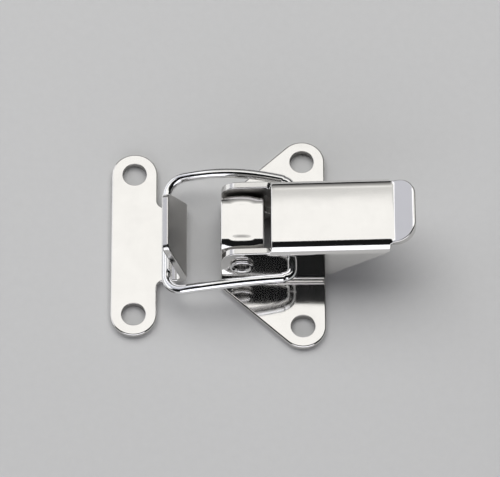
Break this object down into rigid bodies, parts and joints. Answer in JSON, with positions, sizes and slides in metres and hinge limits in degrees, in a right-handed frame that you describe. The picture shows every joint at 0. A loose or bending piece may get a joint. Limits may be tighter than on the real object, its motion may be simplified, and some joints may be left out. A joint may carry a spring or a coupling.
{
  "type": "toggle bolt latch",
  "caption": "Over-centre toggle latch in polished stainless sheet: base bracket, channel lever on hollow rivets, hinged wire loop and hooked keeper plate.",
  "frame": {"origin": "midway between the base bracket's two screw holes, on its mounting face", "axes": "+X towards the lever's thumb tab, +Z away from the mounting face, +Y along the line of the base bracket's screw holes"},
  "size_m": [0.0495, 0.0374, 0.0142],
  "materials": {
    "polished_sheet": "bright polished stainless sheet",
    "bright_wire": "bright drawn stainless wire",
    "rivet_steel": "bright stainless rivet"
  },
  "bodies": {
    "base": {"base_bracket": "polished_sheet", "left_pivot_rivet": "rivet_steel", "right_pivot_rivet": "rivet_steel", "keeper": "polished_sheet"},
    "lever": {"lever": "polished_sheet"},
    "loop": {"wire_loop": "bright_wire"}
  },
  "joints": [
    {"name": "lever_pivot", "type": "hinge", "parent": "base", "child": "lever", "pos_m": [-0.00985, 0, 0.0064], "axis": [0, -1, 0], "range_deg": [0, 130]},
    {"name": "loop_hinge", "type": "hinge", "parent": "lever", "child": "loop", "pos_m": [-0.00175, 0, 0.0062], "axis": [0, -1, 0], "range_deg": [-150, 0]}
  ],
  "couplings": [
    {"joint": "loop_hinge", "follows": "lever_pivot", "ratio": -0.92}
  ]
}
